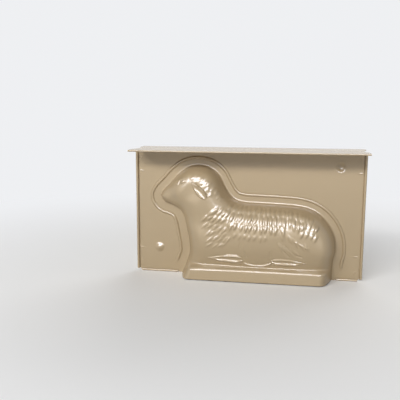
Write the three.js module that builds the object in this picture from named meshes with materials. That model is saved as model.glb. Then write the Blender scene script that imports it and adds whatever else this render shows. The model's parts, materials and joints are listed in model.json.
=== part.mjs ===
// Standing lamb baking tin: two pressed halves of thin coated sheet steel that close face to face.
// Millimetres, +Z up. The closed tin stands on its open mouth, as it does on a shelf. In the oven it
// is turned over and stands on its two flanges. The halves meet on the plane y = 0.

import * as THREE from 'three';

// Overall sizes
const width = 270;
const height = 151.5;
const flangeDepth = 35;
const sheet = 0.6;

// Lamb outline on the closing plane, from the front of the plinth over the head to the rump:
// places along and up, as shares of the lamb's length and height
const sideClearance = 30.5;
const crownClearance = 18.5;
const lambLength = width - 2 * sideClearance;
const lambHeight = height - crownClearance;
const outlineShares = [
  [-0.379, 0], [-0.347, 0.128], [-0.331, 0.211], [-0.334, 0.305], [-0.344, 0.392], [-0.366, 0.535],
  [-0.389, 0.592], [-0.434, 0.633], [-0.474, 0.655], [-0.499, 0.715], [-0.485, 0.765], [-0.443, 0.834],
  [-0.397, 0.914], [-0.34, 0.978], [-0.279, 0.999], [-0.21, 0.978], [-0.162, 0.921], [-0.126, 0.82],
  [-0.099, 0.75], [-0.066, 0.702], [-0.018, 0.679], [0.075, 0.673], [0.19, 0.667], [0.288, 0.657],
  [0.352, 0.634], [0.417, 0.574], [0.466, 0.481], [0.494, 0.377], [0.5, 0.265], [0.489, 0.18],
  [0.483, 0],
];

// Depth of the lamb at places in it, and how far in from the outline its wall turns over:
// place along, place up, depth and turn, as shares of length, height, body depth and body turn
const bodyDepth = 30;
const bodyTurn = 37;
const formShares = [
  [-0.475, 0.71, 0.4, 0.3],
  [-0.34, 0.81, 0.72, 0.52],
  [-0.22, 0.66, 0.86, 0.7],
  [-0.3, 0.3, 0.94, 0.58],
  [0.06, 0.36, 1, 1],
  [0.32, 0.3, 0.98, 0.95],
  [0.46, 0.27, 0.95, 0.55],
];
const blendPower = 3;
const bodyWall = { curl: 2, power: 0.55 };
const plinthWall = { curl: 3, power: 1 };
const rimFillet = 2.5;
const rimWallTurn = 78 / 180 * Math.PI;

// Plinth under the lamb, with the open mouth below it, and the belly tucked in above it
const plinthDepth = 31.5;
const plinthDraft = 1.5;
const plinthTurnFront = 22;
const plinthTurnRear = 19;
const ledgeHeight = 16.5;
const ledgeRiseFront = 5.6;
const ledgeRiseRear = 3.4;
const bellyTuck = 5;
const bellyHeight = 45;

// Legs, ear and eye: leaves raised on the lamb, each from its pointed end to its blunt end. Each has
// its full width at a share of its length, and its middle sunk by a share of its rise.
const foreleg = { fromShares: [-0.199, 0.202], toShares: [-0.005, 0.203], halfWidth: 4.2, rise: 2.2 };
const hindleg = { fromShares: [0.343, 0.189], toShares: [0.148, 0.196], halfWidth: 3.4, rise: 2 };
const ear = { fromShares: [-0.299, 0.85], toShares: [-0.216, 0.724], halfWidth: 4.6, rise: 2.3 };
const eye = { fromShares: [-0.376, 0.838], toShares: [-0.337, 0.883], halfWidth: 2.2, rise: 0.8 };
const leaves = [
  { ...foreleg, fullShare: 0.78, sunkShare: 0 },
  { ...hindleg, fullShare: 0.75, sunkShare: 0 },
  { ...ear, fullShare: 0.66, sunkShare: 0.7 },
  { ...eye, fullShare: 0.55, sunkShare: 0 },
];
const leafFlatness = 4;
const sunkInnerShare = 0.25;
const sunkOuterShare = 0.8;

// Sealing bead round the lamb and locating pips, which nest inside each other when the tin closes.
// The bead follows the outline at an offset, and its whole path is moved a little.
const beadOffset = 10;
const beadShiftX = -1;
const beadShiftZ = -1.4;
const beadHalfWidth = 2.3;
const beadHeight = 1.5;
const beadStart = 10;
const beadStartRear = 14;
const beadFadeIn = 12;
const nestClearance = 0.35;
const pipRadius = 5.8;
const pipHeight = 2.4;
const bumpPower = 1.3;
const domeInset = 28.5;
const domeRise = 30.5;
const dimpleInset = 29;
const dimpleDrop = 18.5;

// Bends and rolled edges, and the side lips of the rear half, which locate the front plate
const flangeBendRadius = 1.2;
const flangeRollRadius = 1;
const lipBendRadius = 0.8;
const lipRollRadius = 1.45;
const lipHeight = 3.2;
const lipGap = 0.3;
const lipTopGap = 1.2;
const footRollRadius = 1.3;
const footMargin = 3;
const cornerRadius = 1.6;
const rollTurn = 1.5 * Math.PI;

// Flange run: rows along it, and how far each row has flared from the plate's width to the full width
const flangeRowShares = [0.3, 0.6, 1];
const flangeFlareShares = [0.5, 1, 1];

// Fineness of the mesh
const stationsPerSpan = 3;
const wallBand = 14;
const filletRowShares = [-1, -0.35, 0.35, 1];
const wallRowShares = [0.2, 0.4, 0.67, 1];
const beadRowShares = [-1, -0.5, 0, 0.5, 1];
const leafRowShares = [-1, -0.7, 0, 0.7, 1];
const leafStep = 4.6;
const leafStepPower = 1.4;
const ledgeRowShares = [-1, 0, 1];
const ledgeClearance = 4.8;
const pipRings = [{ radiusShare: 0.5, count: 8 }, { radiusShare: 1, count: 12 }];
const fieldSpacing = 7.5;
const edgeSpacing = 32;
const fieldClearance = 5;
const arcSteps = 5;
const rollSteps = 9;

const rimHalf = rimFillet * Math.sin(rimWallTurn) / 2;
const rimRise = rimFillet * (1 - Math.cos(rimWallTurn));
const lipInner = width / 2 - 2 * lipRollRadius;
const plateHalf = lipInner - lipBendRadius - lipGap;
const plateTop = height - flangeBendRadius - sheet;
const lipBottom = footRollRadius + cornerRadius;
const lipTop = height - 2 * flangeRollRadius - lipTopGap;
const mouthFront = outlineShares[0][0] * lambLength;
const mouthRear = outlineShares[outlineShares.length - 1][0] * lambLength;
const mouthMiddle = (mouthFront + mouthRear) / 2;
const footFront = mouthFront - rimHalf - footMargin;
const footRear = mouthRear + rimHalf + footMargin;
const nest = sheet + nestClearance;
const wallRows = wallRowShares.map((share) => share * wallBand);
const reliefRows = [...filletRowShares.map((share) => share * rimHalf), ...wallRows];

const coating = { color: 0xb7a688, roughness: 0.34, metalness: 0.75 };

function onLamb([xShare, zShare]) {
  return new THREE.Vector2(xShare * lambLength, zShare * lambHeight);
}

function smoothStep(low, high, value) {
  return THREE.MathUtils.smoothstep(value, low, high);
}

function same(a, b) {
  return Math.abs(a - b) < sheet / 100;
}

// The outline as a smooth curve, with its outward normal at every station
function outlineStations() {
  const knots = outlineShares.map((shares) => onLamb(shares)).map(({ x, y }) => new THREE.Vector3(x, y, 0));
  const curve = new THREE.CatmullRomCurve3(knots, false, 'centripetal');
  const count = (knots.length - 1) * stationsPerSpan;
  const stations = [];
  for (let i = 0; i <= count; i++) {
    const point = curve.getPoint(i / count);
    const tangent = curve.getTangent(i / count);
    const normal = new THREE.Vector2(-tangent.y, tangent.x);
    if (i === 0) normal.set(-1, 0);
    if (i === count) normal.set(1, 0);
    stations.push({ point: new THREE.Vector2(point.x, point.y), normal });
  }
  return stations;
}

const outline = outlineStations();

// The same outline carried on below the mouth, so that distances near the mouth stay true
const outlinePath = [
  new THREE.Vector2(mouthFront, -height),
  ...outline.map((station) => station.point),
  new THREE.Vector2(mouthRear, -height),
];

// Distance from a place on the plate to the outline: positive inside the lamb, negative outside
function outlineDistance(x, z) {
  let nearest = Infinity;
  let inside = false;
  for (let i = 0; i < outlinePath.length; i++) {
    const a = outlinePath[i];
    const b = outlinePath[(i + 1) % outlinePath.length];
    if ((a.y > z) !== (b.y > z) && x < a.x + (b.x - a.x) * (z - a.y) / (b.y - a.y)) inside = !inside;
    if (i === outlinePath.length - 1) break;
    const along = ((x - a.x) * (b.x - a.x) + (z - a.y) * (b.y - a.y)) / a.distanceToSquared(b);
    const t = THREE.MathUtils.clamp(along, 0, 1);
    nearest = Math.min(nearest, Math.hypot(x - a.x - t * (b.x - a.x), z - a.y - t * (b.y - a.y)));
  }
  return inside ? nearest : -nearest;
}

// Where the outline passes a height, on the front side of the lamb or on the rear side
function outlineCrossing(z, side) {
  const i = outline.findIndex(({ point }, k) => {
    return k > 0 && point.x * side > 0 && (point.y > z) !== (outline[k - 1].point.y > z);
  });
  const [a, b] = [outline[i - 1].point, outline[i].point];
  return a.x + (b.x - a.x) * (z - a.y) / (b.y - a.y);
}

// Depth at a distance in from the outline: a fillet that bends the plate into the wall, with the
// outline in its middle, and then a wall that turns over until it reaches its full depth
function wallDepth(distance, fullDepth, turn, { curl, power }) {
  if (distance <= -rimHalf) return 0;
  if (distance < rimHalf) return rimFillet - Math.sqrt(rimFillet ** 2 - (distance + rimHalf) ** 2);
  const rest = 1 - Math.min((distance - rimHalf) / turn, 1);
  return rimRise + (fullDepth - rimRise) * (1 - rest ** curl) ** power;
}

// Depth and wall turn at a place, blended between the places of the form table
function formAt(x, z) {
  let total = 0;
  let depth = 0;
  let turn = 0;
  for (const [xShare, zShare, depthShare, turnShare] of formShares) {
    const away = onLamb([xShare, zShare]).distanceTo(new THREE.Vector2(x, z)) / lambHeight;
    const weight = 1 / Math.max(away, Number.EPSILON) ** blendPower;
    total += weight;
    depth += weight * depthShare * bodyDepth;
    turn += weight * turnShare * bodyTurn;
  }
  return { depth: depth / total, turn: turn / total };
}

// A leaf's axis: where it starts, its direction and its length
function leafAxis(leaf) {
  const from = onLamb(leaf.fromShares);
  const along = onLamb(leaf.toShares).sub(from);
  return { from, length: along.length(), along: along.normalize() };
}

// Half width of a leaf at a share of its length: a slow swell from the point, and a round blunt end
function leafHalfWidth(leaf, share) {
  if (share <= 0 || share >= 1) return 0;
  const swell = Math.sin(Math.min(share / leaf.fullShare, 1) * Math.PI / 2);
  const past = Math.max(share - leaf.fullShare, 0) / (1 - leaf.fullShare);
  return leaf.halfWidth * swell * Math.sqrt(1 - past * past);
}

// Rise of a leaf at a place: a flat top with rounded edges, less high towards its point
function leafRise(leaf, x, z) {
  const { from, length, along } = leafAxis(leaf);
  const place = new THREE.Vector2(x, z).sub(from);
  const half = leafHalfWidth(leaf, place.dot(along) / length);
  const across = Math.abs(place.cross(along));
  if (across >= half) return 0;
  const sunk = leaf.sunkShare * (1 - smoothStep(sunkInnerShare, sunkOuterShare, across / half));
  return leaf.rise * half / leaf.halfWidth * (1 - (across / half) ** leafFlatness) * (1 - sunk);
}

// How tall the ledge between plinth and body is at a place along: less so towards the rump
function ledgeRiseAt(x) {
  return THREE.MathUtils.lerp(ledgeRiseFront, ledgeRiseRear, smoothStep(mouthFront, mouthMiddle, x));
}

// Depth of the lamb and its plinth in front of the plate
function reliefDepth(x, z) {
  const distance = outlineDistance(x, z);
  const form = formAt(x, z);
  const tuck = bellyTuck * Math.max(0, (bellyHeight - z) / (bellyHeight - ledgeHeight)) ** 2;
  const body = wallDepth(distance, form.depth - tuck, form.turn, bodyWall);
  const plinthTurn = x < mouthMiddle ? plinthTurnFront : plinthTurnRear;
  const plinth = wallDepth(distance, plinthDepth - plinthDraft * z / ledgeHeight, plinthTurn, plinthWall);
  const halfRise = ledgeRiseAt(x) / 2;
  const above = smoothStep(ledgeHeight - halfRise, ledgeHeight + halfRise, z);
  const raised = Math.max(...leaves.map((leaf) => leafRise(leaf, x, z)));
  return plinth * (1 - above) + (body + raised) * above;
}

// A smooth bump of a given half width, falling from its middle
function bump(away, halfWidth, rise) {
  const share = away / halfWidth;
  return Math.abs(share) < 1 ? rise * (1 - share * share) ** bumpPower : 0;
}

// What differs between the halves. Rises are measured outwards from each plate's outer face: the front
// bead and dome stand out and take the rear ones, and the front dimple stands in and is taken likewise.
const dome = { x: -width / 2 + domeInset, z: domeRise };
const dimple = { x: width / 2 - dimpleInset, z: height - dimpleDrop };
const frontForm = {
  side: -1,
  bead: { halfWidth: beadHalfWidth, rise: beadHeight, start: beadStart },
  pips: [
    { ...dome, radius: pipRadius, rise: pipHeight },
    { ...dimple, radius: pipRadius, rise: -pipHeight },
  ],
};
const rearForm = {
  side: 1,
  bead: { halfWidth: beadHalfWidth - nest, rise: nestClearance - beadHeight, start: beadStartRear },
  pips: [
    { ...dome, radius: pipRadius - nest, rise: nestClearance - pipHeight },
    { ...dimple, radius: pipRadius + nest, rise: pipHeight + nestClearance },
  ],
};

// How far a half's outer face is pressed out at a place on its plate
function pressDepth(form, x, z) {
  const fade = smoothStep(form.bead.start, form.bead.start + beadFadeIn, z);
  const fromBead = outlineDistance(x - beadShiftX, z - beadShiftZ) + beadOffset;
  const bead = fade * bump(fromBead, form.bead.halfWidth, form.bead.rise);
  const pips = form.pips.map((pip) => bump(Math.hypot(x - pip.x, z - pip.z), pip.radius, pip.rise));
  return pips.reduce((sum, rise) => sum + rise, reliefDepth(x, z) + bead);
}

// The blank's points. A new point is turned away if it lies too close to one that is there.
class Blank {
  constructor() {
    this.points = [];
  }

  add(x, z, clearance) {
    const crowded = this.points.some(([px, pz]) => Math.hypot(px - x, pz - z) < clearance);
    if (!crowded) this.points.push([x, z]);
  }

  // Evenly spaced points from one place to another, both ends included
  addRow(x1, z1, x2, z2, spacing) {
    const bays = Math.max(1, Math.round(Math.hypot(x2 - x1, z2 - z1) / spacing));
    for (let i = 0; i <= bays; i++) {
      this.add(x1 + (x2 - x1) * i / bays, z1 + (z2 - z1) * i / bays, sheet / 2);
    }
  }

  // The plate's edge: sides, rounded lower corners, foot lines and the mouth
  addEdge() {
    for (const side of [-1, 1]) {
      for (let i = 0; i <= arcSteps; i++) {
        const angle = i / arcSteps * Math.PI / 2;
        const x = plateHalf - cornerRadius * (1 - Math.cos(angle));
        this.add(side * x, footRollRadius + cornerRadius * (1 - Math.sin(angle)), sheet / 2);
      }
      this.addRow(side * plateHalf, lipBottom, side * plateHalf, lipTop, edgeSpacing);
      this.addRow(side * plateHalf, plateTop, 0, plateTop, edgeSpacing);
    }
    this.add(footFront, footRollRadius, sheet / 2);
    this.add(footRear, footRollRadius, sheet / 2);
    this.addRow(footFront + footMargin / 2, 0, mouthFront - rimHalf, 0, fieldSpacing);
    this.addRow(footRear - footMargin / 2, 0, mouthRear + rimHalf, 0, fieldSpacing);
    for (const distance of reliefRows) {
      this.add(mouthFront + distance, 0, sheet / 2);
      this.add(mouthRear - distance, 0, sheet / 2);
    }
    this.addRow(mouthFront + wallBand, 0, mouthRear - wallBand, 0, fieldSpacing);
  }

  // A row of points at one distance in from the outline, left out where the row would cross itself
  // or the ledge. The whole row can be moved.
  addRing(distance, lowest, moveX = 0, moveZ = 0) {
    for (const { point, normal } of outline) {
      const x = point.x - normal.x * distance;
      const z = point.y - normal.y * distance;
      const crossed = Math.abs(outlineDistance(x, z)) < Math.abs(distance) - sheet / 3;
      const onLedge = distance > rimHalf && Math.abs(z - ledgeHeight) < ledgeClearance;
      if (z > lowest && !crossed && !onLedge) this.add(x + moveX, z + moveZ, sheet);
    }
  }

  addLeaf(leaf) {
    const { from, length, along } = leafAxis(leaf);
    this.add(from.x, from.y, sheet);
    this.add(from.x + along.x * length, from.y + along.y * length, sheet);
    const steps = Math.round(length / leafStep);
    for (let i = 1; i < steps; i++) {
      const reachShare = 1 - (1 - i / steps) ** leafStepPower;
      const middle = from.clone().addScaledVector(along, reachShare * length);
      for (const share of leafRowShares) {
        const across = share * leafHalfWidth(leaf, reachShare);
        this.add(middle.x - along.y * across, middle.y + along.x * across, sheet);
      }
    }
  }

  addPip(pip) {
    this.add(pip.x, pip.z, sheet);
    for (const { radiusShare, count } of pipRings) {
      for (let i = 0; i < count; i++) {
        const angle = i / count * 2 * Math.PI;
        const radius = pip.radius * radiusShare;
        this.add(pip.x + radius * Math.cos(angle), pip.z + radius * Math.sin(angle), sheet);
      }
    }
  }

  // Rows along the ledge: in its walls they keep the walls' distances, and between them its columns
  // are the same for every row
  addLedge() {
    const ends = [-1, 1].map((side) => outlineCrossing(ledgeHeight, side) - side * wallBand);
    const bays = Math.round((ends[1] - ends[0]) / fieldSpacing);
    for (const share of ledgeRowShares) {
      const heightAt = (x) => ledgeHeight + share * ledgeRiseAt(x) / 2;
      for (const side of [-1, 1]) {
        const edge = outlineCrossing(heightAt(side * lambLength / 2), side);
        for (const distance of [rimHalf, ...wallRows]) {
          this.add(edge - side * distance, heightAt(edge), sheet);
        }
      }
      for (let i = 1; i < bays; i++) {
        const x = THREE.MathUtils.lerp(ends[0], ends[1], i / bays);
        this.add(x, heightAt(x), sheet);
      }
    }
  }

  // Staggered rows of points over the lamb's open middle
  addField() {
    const rise = fieldSpacing * Math.sqrt(3) / 2;
    for (let row = 1; row * rise < lambHeight; row++) {
      for (let x = (row % 2 * fieldSpacing - lambLength) / 2; x < lambLength / 2; x += fieldSpacing) {
        if (outlineDistance(x, row * rise) > wallBand) this.add(x, row * rise, fieldClearance);
      }
    }
  }
}

function blankPoints(form) {
  const blank = new Blank();
  blank.addEdge();
  blank.addLedge();
  for (const distance of reliefRows) blank.addRing(distance, sheet);
  for (const share of beadRowShares) {
    blank.addRing(share * form.bead.halfWidth - beadOffset, beadStart, beadShiftX, beadShiftZ);
  }
  for (const pip of form.pips) blank.addPip(pip);
  for (const leaf of leaves) blank.addLeaf(leaf);
  blank.addField();
  return blank.points;
}

// Delaunay triangles of the points, made by adding one point at a time inside one very large triangle
function triangulate(points) {
  const far = 40 * width;
  const count = points.length;
  const all = [...points, [-far, -far], [far, -far], [0, far]];
  const triangleOf = (corners) => {
    const [[ax, az], [bx, bz], [cx, cz]] = corners.map((i) => all[i]);
    const [ux, uz, vx, vz] = [bx - ax, bz - az, cx - ax, cz - az];
    const twice = 2 * (ux * vz - uz * vx);
    const x = (vz * (ux * ux + uz * uz) - uz * (vx * vx + vz * vz)) / twice;
    const z = (ux * (vx * vx + vz * vz) - vx * (ux * ux + uz * uz)) / twice;
    return { corners, x: ax + x, z: az + z, reachSquared: x * x + z * z };
  };
  let triangles = [triangleOf([count, count + 1, count + 2])];
  for (let i = 0; i < count; i++) {
    const [x, z] = all[i];
    const holds = (triangle) => {
      return (x - triangle.x) ** 2 + (z - triangle.z) ** 2 < triangle.reachSquared * (1 - 1e-12);
    };
    const rim = openEdges(triangles.filter(holds).map((triangle) => triangle.corners));
    triangles = triangles.filter((triangle) => !holds(triangle));
    for (const [from, to] of rim) triangles.push(triangleOf([from, to, i]));
  }
  return triangles.map((triangle) => triangle.corners).filter((corners) => Math.max(...corners) < count);
}

// Edges that belong to one triangle only, in that triangle's direction
function openEdges(triangles) {
  const open = new Map();
  for (const [a, b, c] of triangles) {
    for (const [from, to] of [[a, b], [b, c], [c, a]]) {
      if (!open.delete(`${to},${from}`)) open.set(`${from},${to}`, [from, to]);
    }
  }
  return [...open.values()];
}

// Unit normals of a face at its points, each from the triangles round it
function faceNormals(face, triangles) {
  const normals = face.map(() => new THREE.Vector3());
  for (const corners of triangles) {
    const [a, b, c] = corners.map((i) => face[i]);
    const normal = b.clone().sub(a).cross(c.clone().sub(a)).normalize();
    corners.forEach((corner, k) => {
      const [here, next, last] = [[a, b, c], [b, c, a], [c, a, b]][k];
      normals[corner].addScaledVector(normal, next.clone().sub(here).angleTo(last.clone().sub(here)));
    });
  }
  face.forEach((point, i) => {
    if (point.z === 0) normals[i].z = 0;
    normals[i].normalize();
  });
  return normals;
}

// The pressed plate as the front half has it: an outer face, and an inner face one sheet behind it
function pressedPlate(form) {
  const places = blankPoints(form);
  const triangles = triangulate(places).filter((corners) => {
    const middle = (k) => corners.reduce((sum, i) => sum + places[i][k], 0) / corners.length;
    return middle(1) > footRollRadius || (middle(0) > footFront && middle(0) < footRear);
  });
  const outer = places.map(([x, z]) => new THREE.Vector3(x, -sheet - pressDepth(form, x, z), z));
  const normals = faceNormals(outer, triangles);
  const inner = outer.map((point, i) => point.clone().addScaledVector(normals[i], -sheet));
  return { places, outer, inner, triangles };
}

// A strip's cross-section, drawn by a pen that moves along the sheet's middle. It starts at the
// plate's edge, heading away from the plate, and has the outer face on its left.
class Section {
  constructor() {
    this.pen = new THREE.Vector2(0, sheet / 2);
    this.heading = 0;
    this.rows = [];
  }

  left() {
    return new THREE.Vector2(-Math.sin(this.heading), Math.cos(this.heading));
  }

  addRow(flare) {
    const half = this.left().multiplyScalar(sheet / 2);
    this.rows.push({ outer: this.pen.clone().add(half), inner: this.pen.clone().sub(half), flare });
  }

  run(length, flare = 0) {
    this.pen.x += Math.cos(this.heading) * length;
    this.pen.y += Math.sin(this.heading) * length;
    this.addRow(flare);
  }

  bend(radius, turn, steps, flare = 0) {
    const centre = this.pen.clone().addScaledVector(this.left(), Math.sign(turn) * radius);
    for (let i = 0; i < steps; i++) {
      this.heading += turn / steps;
      this.pen = centre.clone().addScaledVector(this.left(), -Math.sign(turn) * radius);
      this.addRow(flare);
    }
  }
}

// Carries the sheet on past the part of the plate's edge that a test picks out. Away points out of the
// plate in its own plane, and each row of the section is as much wider than the plate as it has flared.
function carryOn(plate, section, away, onEdge) {
  const edges = openEdges(plate.triangles).filter((edge) => edge.every((i) => onEdge(...plate.places[i])));
  const rowsFrom = new Map();
  for (const start of new Set(edges.flat())) {
    const [x, z] = plate.places[start];
    const rows = [start];
    for (const { outer, inner, flare } of section.rows) {
      const place = ({ x: out, y: forward }) => {
        return new THREE.Vector3(x * (1 + flare) + away.x * out, -forward, z + away.y * out);
      };
      rows.push(plate.outer.length);
      plate.outer.push(place(outer));
      plate.inner.push(place(inner));
      plate.places.push([Infinity, Infinity]);
    }
    rowsFrom.set(start, rows);
  }
  for (const [from, to] of edges) {
    const [near, far] = [rowsFrom.get(to), rowsFrom.get(from)];
    for (let k = 0; k < section.rows.length; k++) {
      plate.triangles.push([near[k], far[k], far[k + 1]], [near[k], far[k + 1], near[k + 1]]);
    }
  }
}

// Flange along the top: a bend off the plate, a run that flares to the full width, and a rolled edge
function addFlange(plate) {
  const bendLine = flangeBendRadius + sheet / 2;
  const length = flangeDepth - flangeRollRadius - flangeBendRadius - sheet;
  const fullFlare = width / 2 / plateHalf - 1;
  const section = new Section();
  section.bend(bendLine, Math.PI / 2, arcSteps);
  flangeRowShares.forEach((share, i) => {
    section.run((share - (flangeRowShares[i - 1] ?? 0)) * length, flangeFlareShares[i] * fullFlare);
  });
  section.bend(flangeRollRadius - sheet / 2, rollTurn, rollSteps, fullFlare);
  carryOn(plate, section, new THREE.Vector2(0, 1), (x, z) => same(z, plateTop));
}

// Rolled feet along the plate's bottom edge, on both sides of the mouth
function addFeet(plate) {
  const section = new Section();
  section.bend(footRollRadius - sheet / 2, rollTurn, rollSteps);
  carryOn(plate, section, new THREE.Vector2(0, -1), (x, z) => {
    return same(z, footRollRadius) && (x < footFront + sheet / 2 || x > footRear - sheet / 2);
  });
}

// Side lips: each bends forwards past the front plate's edge, and its own edge is rolled outwards
function addLips(plate) {
  const section = new Section();
  section.run(lipGap);
  section.bend(lipBendRadius + sheet / 2, -Math.PI / 2, arcSteps);
  section.run(lipHeight - lipRollRadius - lipBendRadius);
  section.bend(lipRollRadius - sheet / 2, rollTurn, rollSteps);
  for (const side of [-1, 1]) {
    carryOn(plate, section, new THREE.Vector2(side, 0), (x, z) => {
      return same(x, side * plateHalf) && z > lipBottom - sheet / 2 && z < lipTop + sheet / 2;
    });
  }
}

// The closed skin of a sheet: its outer face, its inner face, and a narrow band along every open edge.
// It is drawn as the front half, and the rear half is the same turned through the closing plane.
function sheetGeometry(plate, side) {
  const count = plate.outer.length;
  const index = [];
  for (const [a, b, c] of plate.triangles) index.push(a, b, c, count + a, count + c, count + b);
  for (const [from, to] of openEdges(plate.triangles)) {
    index.push(to, from, count + from, to, count + from, count + to);
  }
  if (side > 0) index.reverse();
  const positions = [...plate.outer, ...plate.inner].flatMap(({ x, y, z }) => [x, -side * y, z]);
  const geometry = new THREE.BufferGeometry();
  geometry.setAttribute('position', new THREE.Float32BufferAttribute(positions, 3));
  geometry.setIndex(index);
  geometry.computeVertexNormals();
  return geometry;
}

function makeHalf(name, form) {
  const plate = pressedPlate(form);
  addFlange(plate);
  addFeet(plate);
  if (form.side > 0) addLips(plate);
  const mesh = new THREE.Mesh(sheetGeometry(plate, form.side), new THREE.MeshStandardMaterial(coating));
  mesh.name = name;
  return mesh;
}

const tin = new THREE.Group();
tin.add(makeHalf('front_half', frontForm));
tin.add(makeHalf('rear_half', rearForm));

export default tin;
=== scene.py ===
import bmesh
import bpy
import json
import math
import random
import numpy as np
from mathutils import Matrix, Vector
from mathutils.geometry import delaunay_2d_cdt

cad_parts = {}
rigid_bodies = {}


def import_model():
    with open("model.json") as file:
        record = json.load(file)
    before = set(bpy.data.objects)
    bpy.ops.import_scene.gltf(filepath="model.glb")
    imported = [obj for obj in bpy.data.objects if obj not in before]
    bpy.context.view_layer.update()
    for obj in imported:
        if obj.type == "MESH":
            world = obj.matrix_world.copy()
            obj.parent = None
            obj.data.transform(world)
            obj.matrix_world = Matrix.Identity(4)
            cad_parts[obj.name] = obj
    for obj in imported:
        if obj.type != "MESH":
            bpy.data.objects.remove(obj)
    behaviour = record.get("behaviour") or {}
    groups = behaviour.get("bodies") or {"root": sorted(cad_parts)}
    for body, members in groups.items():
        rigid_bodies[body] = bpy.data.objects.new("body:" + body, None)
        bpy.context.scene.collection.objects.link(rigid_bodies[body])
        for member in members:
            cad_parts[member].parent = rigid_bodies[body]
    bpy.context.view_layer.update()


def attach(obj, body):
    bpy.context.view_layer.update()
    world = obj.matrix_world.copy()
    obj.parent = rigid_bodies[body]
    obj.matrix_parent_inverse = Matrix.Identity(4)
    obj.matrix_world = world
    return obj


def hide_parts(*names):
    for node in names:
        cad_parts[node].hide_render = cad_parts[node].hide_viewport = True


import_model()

# Lamb cake tin: two pressed sheets that close on the plane y = 0. Shapes are worked out in
# millimetres, +X along the lamb, +Z up, and turned to metres when a mesh is made.
mm = 0.001

tin = dict(width=270, height=151.5, sheet=0.6, flangeDepth=35, flangeBend=1.2, flangeRoll=1.0, lipGap=0.3,
           lipBend=0.8, lipRoll=1.45, lipHeight=3.2, lipTopGap=1.2, footRoll=1.3, footMargin=3,
           cornerRadius=1.6, lead=0.5, rollTurn=270, bendSteps=8, flangeBays=10, flareStart=6,
           flareEnd=20, sharpAngle=50)
lipInner = tin["width"] / 2 - 2 * tin["lipRoll"]
plateHalf = lipInner - tin["lipBend"] - tin["lipGap"]
plateTop = tin["height"] - tin["flangeBend"] - tin["sheet"]
lipBottom = tin["footRoll"] + tin["cornerRadius"]
lipTop = tin["height"] - 2 * tin["flangeRoll"] - tin["lipTopGap"]

# the lamb's outline on the closing plane and its depth in front of the plate
lamb = dict(length=209, height=133, bodyDepth=30, bodyTurn=37, blendPower=3, bodyWall=(2, 0.55),
            plinthWall=(3, 1), rimFillet=2.5, rimTurn=78, plinthDepth=31.5, plinthDraft=1.5,
            plinthTurnFront=12, plinthTurnRear=17, ledgeHeight=16.5, ledgeRiseFront=5.6,
            ledgeRiseRear=3.4, ledgeLead=1.4, bellyTuck=5, bellyHeight=45, hemHeight=1.2, hemDepth=1,
            hemLift=0.7, hemReach=3, hemFade=(1, 4), reliefFade=(0.5, 6), curveSteps=14)
ledgeShares = ((0, 0.06, 0.32, 0.8, 0.95, 1),  # how far up the ledge, and how far it has stepped back
               (0, 0.01, 0.13, 0.89, 0.99, 1))
rimHalf = lamb["rimFillet"] * math.sin(math.radians(lamb["rimTurn"])) / 2
rimRise = lamb["rimFillet"] * (1 - math.cos(math.radians(lamb["rimTurn"])))
footStart = rimHalf + tin["footMargin"]  # from the lamb's outline to where a foot begins
outlineShares = [
    (-0.379, 0), (-0.347, 0.128), (-0.331, 0.211), (-0.334, 0.305), (-0.344, 0.392), (-0.366, 0.535),
    (-0.389, 0.592), (-0.434, 0.633), (-0.474, 0.655), (-0.499, 0.715), (-0.485, 0.765), (-0.443, 0.834),
    (-0.397, 0.914), (-0.34, 0.978), (-0.279, 0.999), (-0.21, 0.978), (-0.162, 0.921), (-0.126, 0.82),
    (-0.099, 0.75), (-0.066, 0.702), (-0.018, 0.679), (0.075, 0.673), (0.19, 0.667), (0.288, 0.657),
    (0.352, 0.634), (0.417, 0.574), (0.466, 0.481), (0.494, 0.377), (0.5, 0.265), (0.489, 0.18),
    (0.483, 0),
]
formShares = [  # along, up, depth, and how far in the wall turns over
    (-0.475, 0.71, 0.4, 0.3), (-0.34, 0.81, 0.72, 0.52), (-0.22, 0.66, 0.86, 0.7),
    (-0.3, 0.3, 0.94, 0.58), (0.06, 0.36, 1, 1), (0.32, 0.3, 0.98, 0.95), (0.46, 0.27, 0.95, 0.55),
]
bead = dict(offset=10, shift=(-1, -1.4), halfWidth=2.1, height=1.5, start=10, nestedStart=14, fadeIn=12,
            clearance=0.35, power=1)
pips = dict(radius=5.8, height=2.4, dome=(-106.5, 30.5), dimple=(106, 133))
ticks = dict(length=3.2, halfWidth=0.9, rise=0.3, places=[  # place, and the way the tick points
    (127, 28.9, 0), (126.6, 10.2, 50), (128.5, 140.6, 70), (128.6, 126.1, 10), (-128.5, 124.4, 0),
    (-128.5, 29.5, 0), (-128.8, 11, 70), (-127.5, 141, 60)])


def heading(angle):
    return np.array((math.cos(angle), math.sin(angle)))


def leftOf(along):
    return np.array((-along[1], along[0]))


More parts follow.
